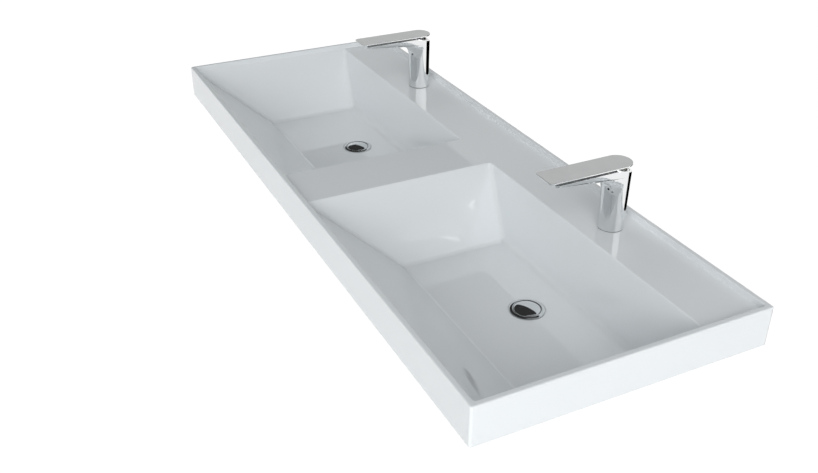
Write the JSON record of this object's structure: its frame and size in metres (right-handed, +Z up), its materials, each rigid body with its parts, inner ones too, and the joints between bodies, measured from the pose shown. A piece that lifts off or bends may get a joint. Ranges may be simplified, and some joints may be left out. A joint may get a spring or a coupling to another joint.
{
  "type": "double washbasin",
  "caption": "Long rectangular ceramic washbasin with twin sloped bowls, a raised rim, a tap ledge, flat single-lever mixer taps and domed push-open wastes.",
  "frame": {"origin": "centre of the flat rear face that stands against the wall, at half the height of the apron", "axes": "+X along the basin, to the right as the user sees it; -Y towards the user; +Z up"},
  "size_m": [1.3, 0.488, 0.3189],
  "materials": {
    "ceramic": "glossy white glaze",
    "chrome": "polished plating on brass",
    "brass": "turned",
    "steel": "stainless, satin",
    "rubber": "matt",
    "plastic": "moulded",
    "disc_ceramic": "lapped alumina"
  },
  "bodies": {
    "basin": {"basin": "ceramic", "tap_body_left": "chrome", "tap_body_right": "chrome", "cartridge_body_left": "plastic", "cartridge_body_right": "plastic", "fixed_disc_left": "disc_ceramic", "fixed_disc_right": "disc_ceramic", "cartridge_nut_left": "brass", "cartridge_nut_right": "brass", "trim_dome_left": "chrome", "trim_dome_right": "chrome", "aerator_housing_left": "chrome", "aerator_housing_right": "chrome", "aerator_insert_left": "plastic", "aerator_insert_right": "plastic", "base_seal_left": "rubber", "base_seal_right": "rubber", "rubber_horseshoe_left": "rubber", "rubber_horseshoe_right": "rubber", "clamp_plate_left": "steel", "clamp_plate_right": "steel", "waste_flange_left": "chrome", "waste_flange_right": "chrome", "waste_body_left": "chrome", "waste_body_right": "chrome", "waste_spider_left": "brass", "waste_spider_right": "brass", "push_housing_left": "plastic", "push_housing_right": "plastic", "flange_seal_left": "rubber", "flange_seal_right": "rubber", "waste_gasket_left": "rubber", "waste_gasket_right": "rubber", "waste_nut_left": "brass", "waste_nut_right": "brass", "fixing_studs": "brass", "stud_nuts": "brass", "side_screws": "steel"},
    "lever_left": {"lever_left": "chrome", "lever_screw_left": "steel", "lever_stem_left": "steel"},
    "lever_right": {"lever_right": "chrome", "lever_screw_right": "steel", "lever_stem_right": "steel"},
    "turret_left": {"cartridge_turret_left": "plastic", "stem_pin_left": "steel"},
    "turret_right": {"cartridge_turret_right": "plastic", "stem_pin_right": "steel"},
    "disc_left": {"moving_disc_left": "disc_ceramic"},
    "disc_right": {"moving_disc_right": "disc_ceramic"},
    "plug_left": {"plug_cap_left": "chrome", "plug_seal_left": "rubber", "plug_spindle_left": "steel"},
    "plug_right": {"plug_cap_right": "chrome", "plug_seal_right": "rubber", "plug_spindle_right": "steel"}
  },
  "joints": [
    {"name": "tap_swivel_left", "type": "hinge", "parent": "basin", "child": "turret_left", "pos_m": [-0.3485, -0.058, 0.1223], "axis": [0, 0, 1], "range_deg": [-45, 45]},
    {"name": "lever_lift_left", "type": "hinge", "parent": "turret_left", "child": "lever_left", "pos_m": [-0.3485, -0.055, 0.1223], "axis": [-1, 0, 0], "range_deg": [0, 20]},
    {"name": "disc_slide_left", "type": "slide", "parent": "turret_left", "child": "disc_left", "axis": [0, -1, 0], "range_m": [0, 0.0042]},
    {"name": "plug_slide_left", "type": "slide", "parent": "basin", "child": "plug_left", "axis": [0, 0, 1], "range_m": [0, 0.008]},
    {"name": "tap_swivel_right", "type": "hinge", "parent": "basin", "child": "turret_right", "pos_m": [0.3485, -0.058, 0.1223], "axis": [0, 0, 1], "range_deg": [-45, 45]},
    {"name": "lever_lift_right", "type": "hinge", "parent": "turret_right", "child": "lever_right", "pos_m": [0.3485, -0.055, 0.1223], "axis": [-1, 0, 0], "range_deg": [0, 20]},
    {"name": "disc_slide_right", "type": "slide", "parent": "turret_right", "child": "disc_right", "axis": [0, -1, 0], "range_m": [0, 0.0042]},
    {"name": "plug_slide_right", "type": "slide", "parent": "basin", "child": "plug_right", "axis": [0, 0, 1], "range_m": [0, 0.008]}
  ],
  "couplings": [
    {"joint": "disc_slide_left", "follows": "lever_lift_left", "m_per_rad": 0.0118},
    {"joint": "disc_slide_right", "follows": "lever_lift_right", "m_per_rad": 0.0118}
  ]
}
